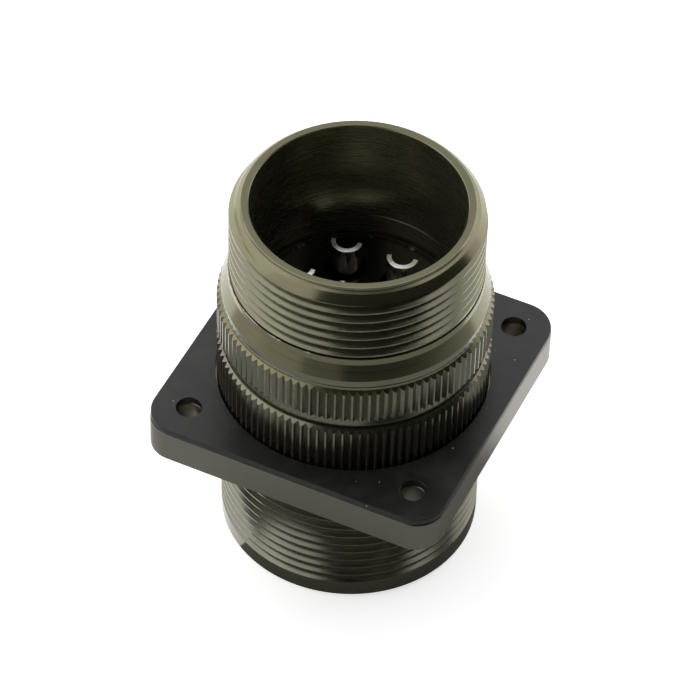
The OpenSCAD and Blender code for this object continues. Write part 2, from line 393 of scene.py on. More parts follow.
def thread_cutter(crest_r, root_r, sizes, edge_z, z_from, z_to, fade_in=0.0,
                  fade_out=0.0):
    """A helical solid of the thread groove's section, for right-hand threads.

    edge_z is the height of a crest's lower edge where the thread faces the phase
    direction. The groove is a 60 degree V with a flat root whose middle runs from
    z_from to z_to. It grows to its depth over the turn fade_in and runs out over
    fade_out. A crest_r under the root_r makes the groove of an inner thread.
    """
    outward = 1 if crest_r > root_r else -1
    slope = math.tan(math.radians(30))
    mouth = (sizes.pitch - sizes.crest) / 2
    root = mouth - abs(crest_r - root_r) * slope
    past = 0.1 * MM
    turns = (z_to - z_from) / sizes.pitch
    rounds = math.ceil(turns)
    share = turns / rounds
    deselect()
    bpy.ops.mesh.primitive_plane_add(size=1, location=(0, 0, 0),
                                     rotation=(math.pi / 2, 0, 0))
    cutter = bpy.context.object
    cutter.name = "thread_cutter"
    apply_place(cutter)
    for vertex in cutter.data.vertices:
        upper = 1 if vertex.co.z > 0 else -1
        if vertex.co.x > 0:
            vertex.co = (crest_r + outward * past, 0,
                         z_from + upper * (mouth + past * slope))
        else:
            vertex.co = (root_r, 0, z_from + upper * root)
    edit(cutter)
    bpy.ops.mesh.select_all(action="SELECT")
    bpy.ops.mesh.delete(type="ONLY_FACE")
    activate(cutter)
    sweep = cutter.modifiers.new("sweep", "SCREW")
    sweep.axis = "Z"
    sweep.angle = 2 * math.pi * share
    sweep.screw_offset = sizes.pitch * share
    sweep.iterations = rounds
    sweep.steps = round(256 * share)
    sweep.render_steps = sweep.steps
    sweep.use_merge_vertices = False
    bpy.ops.object.modifier_apply(modifier=sweep.name)
    lift = (abs(crest_r - root_r) + past) * outward
    for vertex in cutter.data.vertices:
        turned_by = math.atan2(vertex.co.y, vertex.co.x)
        whole = round((vertex.co.z - z_from) / sizes.pitch - turned_by / (2 * math.pi))
        turned_by += 2 * math.pi * whole
        left_over = turns * 2 * math.pi - turned_by
        grown = min(turned_by / fade_in if fade_in else 1,
                    left_over / fade_out if fade_out else 1, 1)
        radius = vertex.co.xy.length
        size = (radius + (1 - grown) * lift) / radius
        vertex.co.xy = vertex.co.xy * size
    edit(cutter)
    bpy.ops.mesh.select_non_manifold()
    bpy.ops.mesh.fill_holes(sides=4)
    tidy_mesh(cutter)
    rise = edge_z - mouth - z_from
    turn = sizes.phase - rise * 2 * math.pi / sizes.pitch
    cutter.data.transform(Matrix.Rotation(turn, 4, "Z"))
    return cutter


def rounded_plate(side, corner_r, z0, z1, edge):
    """A square plate with round upright corners and slightly softened edges."""
    middle = (z0 + z1) / 2
    plate = block((0, 0, middle), (side, side, z1 - z0))
    edit(plate)
    mesh = bmesh.from_edit_mesh(plate.data)
    for line in mesh.edges:
        run = line.verts[0].co - line.verts[1].co
        line.select_set(abs(run.z) > abs(run.x) + abs(run.y))
    bmesh.update_edit_mesh(plate.data)
    bpy.ops.mesh.bevel(offset=corner_r, segments=16, affect="EDGES")
    bpy.ops.mesh.select_all(action="DESELECT")
    mesh = bmesh.from_edit_mesh(plate.data)
    for line in mesh.edges:
        level = abs(line.verts[0].co.z - line.verts[1].co.z) < 1e-7
        outer = len(line.link_faces) == 2 and line.calc_face_angle(0) > 0.5
        line.select_set(level and outer and abs(line.verts[0].co.z - middle) > 0)
    bmesh.update_edit_mesh(plate.data)
    bpy.ops.mesh.bevel(offset=edge, segments=3, affect="EDGES")
    tidy_mesh(plate)
    return plate


def drill_holes(piece, places, outline, segments):
    """Cuts the same turned hole at each place."""
    for x, y in places:
        drill = turned(outline, segments)
        drill.data.transform(Matrix.Translation((x, y, 0)))
        boolean(piece, drill)


def drill_screw_holes(plate, z0, z1, chamfer):
    """Cuts the four chamfered screw holes that the flange's mount gives."""
    dims = MOUNTS["flange_screws"]["dims"]
    hole_r = dims["hole_r_mm"] * MM
    reach = 0.5 * MM
    far_x, far_y = dims["spacing_x_mm"] / 2 * MM, dims["spacing_y_mm"] / 2 * MM
    drill_holes(plate, [(x * far_x, y * far_y) for x in (-1, 1) for y in (-1, 1)], [
        (hole_r + chamfer + reach, z0 - reach), (hole_r, z0 + chamfer),
        (hole_r, z1 - chamfer), (hole_r + chamfer + reach, z1 + reach)], 48)


def finish_piece(piece, name, body, nodes, material):
    """Names, shades, colours and hands over a finished piece."""
    tidy_mesh(piece)
    piece.name = name
    piece.data.name = name
    activate(piece)
    bpy.ops.object.shade_smooth_by_angle(angle=math.radians(26))
    even = piece.modifiers.new("even", "WEIGHTED_NORMAL")
    even.keep_sharp = True
    bpy.ops.object.modifier_apply(modifier=even.name)
    piece.data.materials.clear()
    piece.data.materials.append(material)
    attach(piece, body)
    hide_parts(*nodes)
    deselect()


# ---------------------------------------------------------------- materials

# MAP's inputs are, in order, the value, from low, from high, to low and to high.
MATH, MAP, MIX = "ShaderNodeMath", "ShaderNodeMapRange", "ShaderNodeMix"
NOISE = "ShaderNodeTexNoise"
FAR = 1.0                            # metres: past every surface


def fill_inputs(tree, node, values):
    """Links or sets a node's inputs, given by name in a dict or else in order."""
    named = values.items() if isinstance(values, dict) else enumerate(values)
    for name, value in named:
        if isinstance(value, bpy.types.NodeSocket):
            tree.links.new(value, node.inputs[name])
        else:
            node.inputs[name].default_value = value


def add_node(tree, kind, inputs=(), output=0, **settings):
    """Adds a node with its settings and inputs, and returns one of its outputs."""
    node = tree.nodes.new(kind)
    for name, value in settings.items():
        setattr(node, name, value)
    fill_inputs(tree, node, inputs)
    return node.outputs[output]


def new_material(name):
    """An empty node material with its tree and shader."""
    material = bpy.data.materials.new(name)
    material.use_nodes = True
    tree = material.node_tree
    return material, tree, tree.nodes["Principled BSDF"]


def radius_and_height(tree, place):
    """The distance of a place from the Z axis, and its height."""
    flat = add_node(tree, "ShaderNodeVectorMath", (place, (1, 1, 0)),
                    operation="MULTIPLY")
    radius = add_node(tree, "ShaderNodeVectorMath", (flat,), "Value",
                      operation="LENGTH")
    return radius, add_node(tree, "ShaderNodeSeparateXYZ", (place,), "Z")


def scale_for(size):
    """The texture scale that gives features of a size in millimetres."""
    return 1 / (size * MM)


def section(tree, polar, radii, heights, share=1.0):
    """A mask of the part between two radii and two heights, times a share.

    polar is the pair that radius_and_height gives, and share a number or a mask.
    """
    mask = share
    for value, (low, high) in zip(polar, (radii, heights)):
        for operation, limit in (("GREATER_THAN", low), ("LESS_THAN", high)):
            test = add_node(tree, MATH, (value, limit), operation=operation)
            mask = add_node(tree, MATH, (test, mask), operation="MULTIPLY")
    return mask


def specks(tree, place, spacing, radius, share):
    """A mask of round specks in a share of a random grid's cells, sizes in metres."""
    distance = add_node(tree, "ShaderNodeTexVoronoi",
                        {"Vector": place, "Scale": 1 / spacing}, "Distance")
    chance = add_node(tree, "ShaderNodeSeparateColor",
                      (distance.node.outputs["Color"],), "Red")
    chosen = add_node(tree, MATH, (chance, share), operation="LESS_THAN")
    size = radius / spacing
    spot = add_node(tree, MAP, (distance, size, size * 0.6))
    return add_node(tree, MATH, (spot, chosen), operation="MULTIPLY")


def layered(tree, tone, *layers):
    """A colour with others laid over it in turn, each where its mask says."""
    for mask, colour_over in layers:
        tone = add_node(tree, MIX, {0: mask, 6: tone, 7: colour_over}, 2,
                        data_type="RGBA")
    return tone


def olive_coating():
    """Olive drab chromate over turned metal: a dark brownish green with a metal sheen.

    The film varies from green to brown. The lathe leaves fine rings about the axis, the
    milled flange is duller, and the crests are rubbed lighter.
    """
    name = "olive_chromate_on_turned_metal"
    if name in bpy.data.materials:
        return bpy.data.materials[name]
    scene = bpy.context.scene
    colours, bell = scene.connector_finishes, scene.connector_bell
    shell, threads = scene.connector_shell, scene.connector_threads
    material, tree, shader = new_material(name)
    place = add_node(tree, "ShaderNodeTexCoord", output="Object")
    radius, height = polar = radius_and_height(tree, place)
    clamp_r = mount_r("clamp_thread")
    inner_r = bell.rim_r + 0.22 * MM
    cloud = add_node(tree, NOISE, {"Vector": place, "Scale": scale_for(5.88),
                                   "Detail": 4, "Roughness": 0.6})
    rings = add_node(tree, "ShaderNodeCombineXYZ", {"X": radius, "Y": height})
    turning = add_node(tree, NOISE, {"Vector": rings, "Scale": scale_for(0.1923),
                                     "Detail": 3, "Roughness": 0.7})
    grain = add_node(tree, NOISE, {"Vector": place, "Scale": scale_for(0.2),
                                   "Detail": 2})

    # The film: brown clouds, dark turning rings, and a thin grey film where it was
    # machined last.
    browner = add_node(tree, MAP, (cloud, 0.4, 0.62))
    dark_ring = add_node(tree, MAP, (turning, 0.55, 0.3, 0.0, 0.25))
    dark_olive = [value * 0.6 for value in linear(colours.olive)[:3]] + [1]
    thin = 0.0
    for low, high, share in (
            (-1 * MM, GASKET_LO.z, 0.85),
            (GASKET_LO.z, bell.grip_z1 - 0.4 * MM, 0.6),
            (bell.grip_z1 + 0.3 * MM, bell.land_z, 0.5),
            (bell.shoulder_z, BELL_HI.z - CONE_LEN, 0.4)):
        part = section(tree, polar, (inner_r, FAR), (low, high), share)
        thin = add_node(tree, MATH, (part, thin), operation="ADD")

    # Wear: rubbed crests, plus a lighter rim edge and light burrs on the collar's upper
    # edge, both partly painted highlight.
    worn = 0.0
    for crest_r, low, high in (
            (mount_r("coupling_thread"), threads.coupling_start_z, shell.flange_z),
            (BELL_HI.x, GASKET_LO.z, bell.grip_z1),
            (clamp_r, bell.shoulder_z, BELL_HI.z)):
        crest = add_node(tree, MAP, (radius, crest_r - 0.07 * MM, crest_r - 0.01 * MM))
        rubbed = section(tree, polar, (0.0, FAR), (low, high), crest)
        worn = add_node(tree, MATH, (rubbed, worn), operation="ADD")
    patches = add_node(tree, NOISE, {"Vector": place, "Scale": scale_for(0.625),
                                     "Detail": 3})
    patchy = add_node(tree, MAP, (patches, 0.5, 0.75, 0.0, 0.45))
    worn = add_node(tree, MATH, (worn, patchy), operation="MULTIPLY")
    top = BELL_HI.z
    # A lighter line along the rim's outer edge: partly wear, partly a painted highlight.
    rim_highlight_and_wear_share = add_node(tree, MAP, (cloud, 0.35, 0.6, 0.1, 0.45))
    rim_edge_highlight_and_wear = section(tree, polar, (bell.rim_r - 0.12 * MM, bell.rim_r + 0.02 * MM),
                       (top - 0.1 * MM, FAR), rim_highlight_and_wear_share)
    # Painted shade: the flat top of the rim is darkened a quarter of the way to the
    # rubber's colour.
    rim_painted_shade = section(tree, polar, (0.0, FAR), (top - 0.03 * MM, FAR), 0.25)
    seam = section(tree, polar, (-FAR, inner_r),
                   (SHELL_HI.z - 0.15 * MM, SHELL_HI.z + 0.06 * MM), 0.75)
    # Burrs on the collar's upper edge, where X is under 2 mm, lightened to the dust colour:
    # a real burr with a painted highlight.
    ragged = add_node(tree, NOISE, {"Vector": place, "Scale": scale_for(1.111),
                                    "Detail": 4})
    ragged = add_node(tree, MAP, (ragged, 0.5, 0.6))
    across = add_node(tree, "ShaderNodeSeparateXYZ", (place,), "X")
    near = add_node(tree, MATH, (across, 2 * MM), operation="LESS_THAN")
    ragged = add_node(tree, MATH, (ragged, near), operation="MULTIPLY")
    burr_highlight = section(tree, polar, (clamp_r, FAR),
                   (bell.shoulder_z - 0.09 * MM, bell.shoulder_z + 0.01 * MM), ragged)
    # The mask holds the dust specks and the burr line; the burr's lightness is a painted
    # highlight.
    dust = add_node(tree, MATH, (specks(tree, place, 2.2 * MM, 0.07 * MM, 0.3), burr_highlight),
                    operation="ADD")
    tone = layered(tree, linear(colours.olive), (browner, linear(colours.brown)),
                   (dark_ring, dark_olive), (thin, linear(colours.machined)),
                   (worn, linear(colours.bare)), (rim_painted_shade, linear(colours.rubber)),
                   (rim_edge_highlight_and_wear, linear(colours.bare)), (seam, linear(colours.rubber)),
                   (dust, linear(colours.dust)))

    # The bores are darker, duller and smoother than the outside.
    bore_r = bell.entry_r + 0.07 * MM
    bored = add_node(tree, MAP, (radius, bore_r + 0.1 * MM, bore_r))
    metal = add_node(tree, MAP, (bored, 0.0, 1.0, 0.93, 0.82))
    metal = add_node(tree, MATH, (metal, dust), operation="SUBTRACT", use_clamp=True)
    flange_r = BELL_HI.x + 0.18 * MM
    milled = add_node(tree, MAP, (radius, flange_r, flange_r + 0.2 * MM, 0.0, 0.16))
    rough = add_node(tree, MAP, (turning, 0.3, 0.7, 0.15, 0.25))
    rough = add_node(tree, MATH, (rough, milled), operation="ADD")
    rough = add_node(tree, MATH, (bored, 0.06, rough), operation="MULTIPLY_ADD")
    texture = add_node(tree, MATH, (grain, 0.3), operation="MULTIPLY")
    texture = add_node(tree, MATH, (turning, 0.7, texture), operation="MULTIPLY_ADD")
    smoother = add_node(tree, MAP, (bored, 0.0, 1.0, 1.0, 0.2))
    texture = add_node(tree, MATH, (texture, smoother), operation="MULTIPLY")
    bump = add_node(tree, "ShaderNodeBump", {"Height": texture, "Strength": 0.5,
                                             "Distance": 0.004 * MM})
    fill_inputs(tree, shader, {"Base Color": tone, "Metallic": metal,
                               "Roughness": rough, "Normal": bump,
                               "Coat Weight": 0.2, "Coat Roughness": 0.25})
    return material


def gasket_rubber():
    """Black sheet rubber: nearly black with a soft sheen, a chalky bloom and dust."""
    colours = bpy.context.scene.connector_finishes
    material, tree, shader = new_material("black_sheet_rubber")
    place = add_node(tree, "ShaderNodeTexCoord", output="Object")
    bloom = add_node(tree, NOISE, {"Vector": place, "Scale": scale_for(4.167),
                                   "Detail": 6, "Roughness": 0.65})
    pores = add_node(tree, NOISE, {"Vector": place, "Scale": scale_for(0.2381),
                                   "Detail": 3})
    chalky = add_node(tree, MAP, (bloom, 0.45, 0.75))
    dust = add_node(tree, MATH, (specks(tree, place, 2.6 * MM, 0.15 * MM, 0.5),
                                 specks(tree, place, 1.3 * MM, 0.09 * MM, 0.3)),
                    operation="ADD")
    tone = layered(tree, linear(colours.rubber), (chalky, linear(colours.worn_rubber)),
                   (dust, linear(colours.dust)))
    rough = add_node(tree, MAP, (bloom, 0.3, 0.7, 0.3, 0.42))
    bump = add_node(tree, "ShaderNodeBump", {"Height": pores, "Strength": 0.6,
                                             "Distance": 0.01 * MM})
    fill_inputs(tree, shader, {"Base Color": tone, "Roughness": rough, "Normal": bump})
    return material


def insert_plastic():
    """Thermoset moulding: black and glossy with faint flow marks."""
    name = "black_thermoset_moulding"
    if name in bpy.data.materials:
        return bpy.data.materials[name]
    colours = bpy.context.scene.connector_finishes
    material, tree, shader = new_material(name)
    place = add_node(tree, "ShaderNodeTexCoord", output="Object")
    flow = add_node(tree, NOISE, {"Vector": place, "Scale": scale_for(1.667),
                                  "Detail": 3})
    dust = specks(tree, place, 1.8 * MM, 0.05 * MM, 0.2)
    tone = layered(tree, linear(colours.plastic), (dust, linear(colours.dust)))
    rough = add_node(tree, MAP, (flow, 0.3, 0.7, 0.14, 0.26))
    bump = add_node(tree, "ShaderNodeBump", {"Height": flow, "Strength": 0.4,
                                             "Distance": 0.01 * MM})
    fill_inputs(tree, shader, {"Base Color": tone, "Roughness": rough, "Normal": bump})
    return material


def silver_plate():
    """Silver plated copper alloy: bright, yellowed in places, and duller at the tips."""
    name = "silver_plated_contact"
    if name in bpy.data.materials:
        return bpy.data.materials[name]
    colours = bpy.context.scene.connector_finishes
    material, tree, shader = new_material(name)
    place = add_node(tree, "ShaderNodeTexCoord", output="Object")
    height = add_node(tree, "ShaderNodeSeparateXYZ", (place,), "Z")
    film = add_node(tree, NOISE, {"Vector": place, "Scale": scale_for(0.909),
                                  "Detail": 4})
    grain = add_node(tree, NOISE, {"Vector": place, "Scale": scale_for(0.1667),
                                   "Detail": 2})
    tip = add_node(tree, MATH, (height, CUP_TOP - 0.1 * MM), operation="GREATER_THAN")
    clean = add_node(tree, MATH, (tip, 0.6), operation="MULTIPLY")
    yellow = add_node(tree, MAP, (film, 0.52, 0.72))
    yellow = add_node(tree, MATH, (yellow, clean), operation="SUBTRACT", use_clamp=True)
    tone = layered(tree, linear(colours.plate), (yellow, linear(colours.tarnish)))
    rough = add_node(tree, MAP, (film, 0.3, 0.7, 0.1, 0.22))
    rough = add_node(tree, MATH, (tip, 0.15, rough), operation="MULTIPLY_ADD")
    bump = add_node(tree, "ShaderNodeBump", {"Height": grain, "Strength": 0.4,
                                             "Distance": 0.002 * MM})
    fill_inputs(tree, shader, {"Base Color": tone, "Metallic": 1.0, "Roughness": rough,
                               "Normal": bump})
    return material


def black_steel():
    """Blackened spring steel: dark with a dull sheen, rubbed in places."""
    colours = bpy.context.scene.connector_finishes
    material, tree, shader = new_material("blackened_spring_steel")
    place = add_node(tree, "ShaderNodeTexCoord", output="Object")
    rub = add_node(tree, NOISE, {"Vector": place, "Scale": scale_for(1.111),
                                 "Detail": 4})
    rubbed = add_node(tree, MAP, (rub, 0.55, 0.75))
    tone = layered(tree, linear(colours.steel), (rubbed, linear(colours.bare)))
    rough = add_node(tree, MAP, (rub, 0.3, 0.7, 0.28, 0.45))
    bump = add_node(tree, "ShaderNodeBump", {"Height": rub, "Strength": 0.4,
                                             "Distance": 0.01 * MM})
    fill_inputs(tree, shader, {"Base Color": tone, "Metallic": 1.0, "Roughness": rough,
                               "Normal": bump})
    return material


def white_paper():
    """White paper floor, shown as white where no shadow falls on it."""
    material, tree, shader = new_material("white_paper")
    seen = add_node(tree, "ShaderNodeLightPath", output="Is Camera Ray")
    mirrored = seen.node.outputs["Is Glossy Ray"]
    mirrored = add_node(tree, MATH, (mirrored, 0.7), operation="MULTIPLY")
    glow = add_node(tree, MATH, (seen, 0.66, mirrored), operation="MULTIPLY_ADD")
    fill_inputs(tree, shader, {"Base Color": (0.9, 0.9, 0.9, 1), "Roughness": 0.8,
                               "Emission Color": (1, 1, 1, 1),
                               "Emission Strength": glow})
    return material


def studio_cloth(name, code):
    """Dull cloth of the given colour for the studio's screens and table cards."""
    material, tree, shader = new_material(name)
    fill_inputs(tree, shader, {"Base Color": linear(code), "Roughness": 1.0,
                               "Specular IOR Level": 0.0})
    return material


# ---------------------------------------------------------------- pieces

class CONNECTOR_OT_shell(Operator):
    """Builds the shell: coupling barrel, flange, lower knurl and rear barrel"""

    bl_idname = "connector.shell"
    bl_label = "Receptacle Shell"

    def execute(self, context):
        scene = context.scene
        s, t, k = scene.connector_shell, scene.connector_threads, scene.connector_knurls
        coupling_r = mount_r("coupling_thread")
        relief_z = s.flange_z - 1.2 * MM
        flange_top = GASKET_LO.z
        top = SHELL_HI.z
        rear_root = s.rear_r - 0.75 * MM
        rear_relief = s.ledge_z + 1.1 * MM
        shell = turned([
            (s.lead_r - 0.1 * MM, 0), (s.lead_r, 0.1 * MM),
            (coupling_r, coupling_r - s.lead_r + 0.1 * MM),
            (coupling_r, relief_z - 0.5 * MM), (s.relief_r, relief_z),
            (s.relief_r, s.flange_z + 1 * MM), (rear_root, s.flange_z + 2 * MM),
            (rear_root, rear_relief), (s.rear_r, rear_relief + 0.7 * MM),
            (s.rear_r, top - 0.4 * MM), (s.rear_r - 0.4 * MM, top)])
        plate = rounded_plate(SHELL_HI.x - SHELL_LO.x, s.corner_r, s.flange_z,
                              flange_top, 0.12 * MM)
        drill_screw_holes(plate, s.flange_z, flange_top, s.hole_chamfer)
        boolean(shell, plate, "UNION")
        boolean(shell, knurled_disc(flange_top - 1 * MM, s.ledge_z, k, BELL_HI.x,
                                    t.phase), "UNION")
        ring_z0, ring_z1 = RING_LO.z - 0.05 * MM, RING_HI.z + 0.05 * MM
        groove_r = s.insert_r + 0.6 * MM
        stop_z = s.socket_depth + STOP_LEN
        boolean(shell, turned([
            (s.socket_r + 1.3 * MM, -1 * MM), (s.socket_r, 0.3 * MM),
            (s.socket_r, s.socket_depth), (STOP_R, s.socket_depth), (STOP_R, stop_z),
            (s.insert_r, stop_z), (s.insert_r, ring_z0), (groove_r, ring_z0),
            (groove_r, ring_z1), (s.insert_r, ring_z1),
            (s.insert_r, top - 0.11 * MM), (s.insert_r + 1.11 * MM, top + 1 * MM)]))
        boolean(shell, thread_cutter(coupling_r, coupling_r - t.depth, t,
                                     t.coupling_edge_z, t.coupling_start_z,
                                     s.flange_z - 0.65 * MM, fade_in=t.fade))
        boolean(shell, thread_cutter(s.rear_r, rear_root, t, s.rear_edge_z,
                                     s.ledge_z + 0.65 * MM, top + 1 * MM))
        lead_in, sunk = 1.5 * MM, 0.5 * MM
        key_len = s.socket_depth - lead_in + 0.1 * MM
        boolean(shell, block((0, s.socket_r + sunk - (s.key_h + sunk) / 2,
                              lead_in + key_len / 2),
                             (s.key_w, s.key_h + sunk, key_len)), "UNION")
        finish_piece(shell, "shell", "receptacle", ["receptacle_shell"],
                     olive_coating())
        return {"FINISHED"}


class CONNECTOR_OT_bell(Operator):
    """Builds the end bell: skirt, knurled grip, land, shoulder, clamp thread, rim"""

    bl_idname = "connector.bell"
    bl_label = "End Bell"

    def execute(self, context):
        scene = context.scene
        b, s = scene.connector_bell, scene.connector_shell
        t, k = scene.connector_threads, scene.connector_knurls
        clamp_r = mount_r("clamp_thread")
        knurl_end_r = BELL_HI.x - k.depth - 0.06 * MM
        top, bottom = BELL_HI.z, BELL_LO.z
        cone_z = top - CONE_LEN
        groove_z = b.grip_z1 + 0.4 * MM
        collar_r = clamp_r + 0.1 * MM
        thread_z = b.shoulder_z + b.relief_len
        bell = turned([
            (b.skirt_r - 0.15 * MM, bottom), (b.skirt_r, bottom + 0.15 * MM),
            (b.skirt_r, b.grip_z0 + 1 * MM), (knurl_end_r, b.grip_z0 + 1 * MM),
            (knurl_end_r, groove_z), (knurl_end_r - 0.1 * MM, groove_z + 0.05 * MM),
            (b.land_r, groove_z + 0.1 * MM), (b.land_r, b.land_z),
            (collar_r, b.taper_top), (collar_r, b.shoulder_z),
            (b.relief_r, b.shoulder_z), (b.relief_r, thread_z - 0.05 * MM),
            (clamp_r, thread_z), (clamp_r, cone_z),
            (b.ledge_r, top - b.rim_step - b.ledge_drop),
            (b.rim_r + 0.06 * MM, top - b.rim_step), (b.rim_r, top),
            (b.rim_r - 0.1 * MM, top)], ease=0.06 * MM)
        boolean(bell, knurled_disc(b.grip_z0, b.grip_z1, k, BELL_HI.x, t.phase), "UNION")
        stop_z = SHELL_HI.z + 0.05 * MM
        inner_root = s.rear_r + 0.05 * MM
        boolean(bell, turned([
            (s.rear_r + 0.8 * MM, bottom - 1 * MM), (b.socket_r, bottom + 0.8 * MM),
            (b.socket_r, stop_z - 1.2 * MM), (inner_root, stop_z - 1.1 * MM),
            (inner_root, stop_z), (b.entry_r, stop_z), (b.entry_r, top - 0.12 * MM),
            (b.entry_r + 1.12 * MM, top + 1 * MM)]))
        boolean(bell, thread_cutter(clamp_r, clamp_r - t.depth, t, t.clamp_edge_z,
                                    b.shoulder_z + 0.66 * MM, t.clamp_end_z,
                                    fade_in=t.fade / 2, fade_out=t.fade))
        boolean(bell, thread_cutter(b.socket_r, inner_root, t,
                                    s.rear_edge_z + t.pitch / 2, bottom - 1 * MM,
                                    stop_z - 0.65 * MM))
        finish_piece(bell, "bell", "end_bell", ["end_bell"],
                     olive_coating())
        return {"FINISHED"}


class CONNECTOR_OT_gasket(Operator):
    """Builds the square rubber gasket on the flange"""

    bl_idname = "connector.gasket"
    bl_label = "Flange Gasket"

    def execute(self, context):
        z0, z1 = GASKET_LO.z, GASKET_HI.z
        corner_r = context.scene.connector_shell.gasket_corner_r
        gasket = rounded_plate(GASKET_HI.x - GASKET_LO.x, corner_r, z0, z1, 0.2 * MM)
        drill_screw_holes(gasket, z0, z1, 0.05 * MM)
        bore_r = BELL_HI.x + 0.18 * MM
        boolean(gasket, turned([(bore_r, z0 - 1 * MM), (bore_r, z1 + 1 * MM)]))
        finish_piece(gasket, "gasket", "receptacle", ["flange_gasket"],
                     gasket_rubber())
        return {"FINISHED"}


def contact_places():
    """The middle of each contact, from its node's box."""
    places = []
    for name in CONTACTS:
        low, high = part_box(name)
        places.append(((low.x + high.x) / 2, (low.y + high.y) / 2))
    return places


class CONNECTOR_OT_inserts(Operator):
    """Builds the two moulded inserts with their contact holes and wells"""

    bl_idname = "connector.inserts"
    bl_label = "Inserts"

    def execute(self, context):
        i, c = context.scene.connector_inserts, context.scene.connector_contacts
        edge = 0.15 * MM
        outer_r = REAR_HI.x
        step_z = RING_LO.z
        top = REAR_HI.z
        rear = turned([
            (outer_r, REAR_LO.z), (outer_r, step_z), (i.boss_r, step_z),
            (i.boss_r, top - edge), (i.boss_r - 0.3 * edge, top - 0.3 * edge),
            (i.boss_r - edge, top)])
        well_z = top - i.well_depth
        hole_r = c.cup_r + 0.05 * MM
        drill_holes(rear, contact_places(), [
            (hole_r, REAR_LO.z - 1 * MM), (hole_r, well_z), (i.well_r, well_z),
            (i.well_r, top - 0.1 * MM), (i.well_r + 1.1 * MM, top + 1 * MM)], 96)
        finish_piece(rear, "rear_insert_moulding", "receptacle", ["rear_insert"],
                     insert_plastic())
        nose_r = STOP_R - 0.05 * MM
        shoulder_z = context.scene.connector_shell.socket_depth + STOP_LEN
        front = turned([(nose_r - edge, FRONT_LO.z), (nose_r, FRONT_LO.z + edge),
                        (nose_r, shoulder_z), (FRONT_HI.x, shoulder_z),
                        (FRONT_HI.x, FRONT_HI.z)])
        collar_z = FRONT_HI.z - 4 * MM
        hole_r = c.pin_r + 0.05 * MM
        drill_holes(front, contact_places(), [
            (hole_r + 1.1 * MM, FRONT_LO.z - 1 * MM), (hole_r, FRONT_LO.z + 0.1 * MM),
            (hole_r, collar_z), (c.collar_r + 0.05 * MM, collar_z),
            (c.collar_r + 0.05 * MM, FRONT_HI.z + 1 * MM)], 64)
        finish_piece(front, "front_insert_moulding", "receptacle", ["front_insert"],
                     insert_plastic())
        return {"FINISHED"}


class CONNECTOR_OT_ring(Operator):
    """Builds the split spring ring that holds the inserts"""

    bl_idname = "connector.ring"
    bl_label = "Retaining Ring"

    def execute(self, context):
        outer_r, inner_r = RING_HI.y, context.scene.connector_inserts.boss_r + 0.1 * MM
        z0, z1 = RING_LO.z, RING_HI.z
        edge = 0.08 * MM
        ring = turned([(outer_r - edge, z0), (outer_r, z0 + edge), (outer_r, z1 - edge),
                       (outer_r - edge, z1)], 192)
        boolean(ring, turned([(inner_r, z0 - 1 * MM), (inner_r, z1 - edge),
                              (inner_r + 1 * MM, z1 - edge + 1 * MM)], 192))
        gap = 4 * MM
        boolean(ring, block((outer_r, 0, (z0 + z1) / 2), (6 * MM, gap, gap)))
        finish_piece(ring, "retaining_ring", "receptacle", ["insert_ring"],
                     black_steel())
        return {"FINISHED"}


class CONNECTOR_OT_contacts(Operator):
    """Builds the pin contacts with their scooped solder cups"""

    bl_idname = "connector.contacts"
    bl_label = "Contacts"

    def execute(self, context):
        c = context.scene.connector_contacts
        low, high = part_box(CONTACTS[0])
        collar_z0, collar_z1 = FRONT_HI.z - 3.95 * MM, FRONT_HI.z - 0.05 * MM
        edge, tip_fall = 0.04 * MM, 0.07 * MM
        bore_r = c.cup_r - c.cup_wall
        model = turned([
            (0.45 * MM, low.z), (0.8 * MM, low.z + 0.12 * MM),
            (1.05 * MM, low.z + 0.4 * MM), (c.pin_r, low.z + 0.9 * MM),
            (c.pin_r, collar_z0), (c.collar_r, collar_z0), (c.collar_r, collar_z1),
            (c.cup_r, collar_z1), (c.cup_r, high.z - tip_fall - edge),
            (c.cup_r - edge, high.z - tip_fall), (bore_r + 1.2 * edge, high.z)], 64)
        floor_z = high.z - c.cup_depth
        boolean(model, turned([
            (0.2 * MM, floor_z - 0.5 * MM), (bore_r, floor_z + 0.3 * MM),
            (bore_r, high.z - edge), (bore_r + 0.5 * MM, high.z + 0.5 * MM)], 64))
        run_out = c.cup_r
        bottom = high.z - c.scoop
        scoop = block((2 * MM, 0, bottom + run_out + 5 * MM),
                      (4 * MM, 6 * MM, 10 * MM))
        deselect()
        bpy.ops.mesh.primitive_cylinder_add(
            vertices=64, radius=run_out, depth=6.1 * MM,
            location=(run_out, 0, bottom + run_out), rotation=(math.pi / 2, 0, 0))
        round_end = context.object
        apply_place(round_end)
        boolean(scoop, round_end, "UNION")
        scoop.data.transform(Matrix.Rotation(c.opens_to, 4, "Z"))
        boolean(model, scoop)
        for name, (x, y) in zip(CONTACTS, contact_places()):
            copy = model.copy()
            copy.data = model.data.copy()
            context.collection.objects.link(copy)
            copy.data.transform(Matrix.Translation((x, y, 0)))
            finish_piece(copy, name.replace("contact", "pin_and_cup"), "receptacle",
                         [name], silver_plate())
        bpy.data.objects.remove(model)
        return {"FINISHED"}


# ---------------------------------------------------------------- stage

def camera_axes(settings):
    """Unit vectors of the camera: right, up and back towards it."""
    a, e = settings.azimuth, settings.elevation
    back = Vector((math.sin(a) * math.cos(e), -math.cos(a) * math.cos(e), math.sin(e)))
    side = Vector((math.cos(a), math.sin(a), 0))
    up = back.cross(side)
    right = side * math.cos(settings.roll) + up * math.sin(settings.roll)
    return right, back.cross(right), back, side


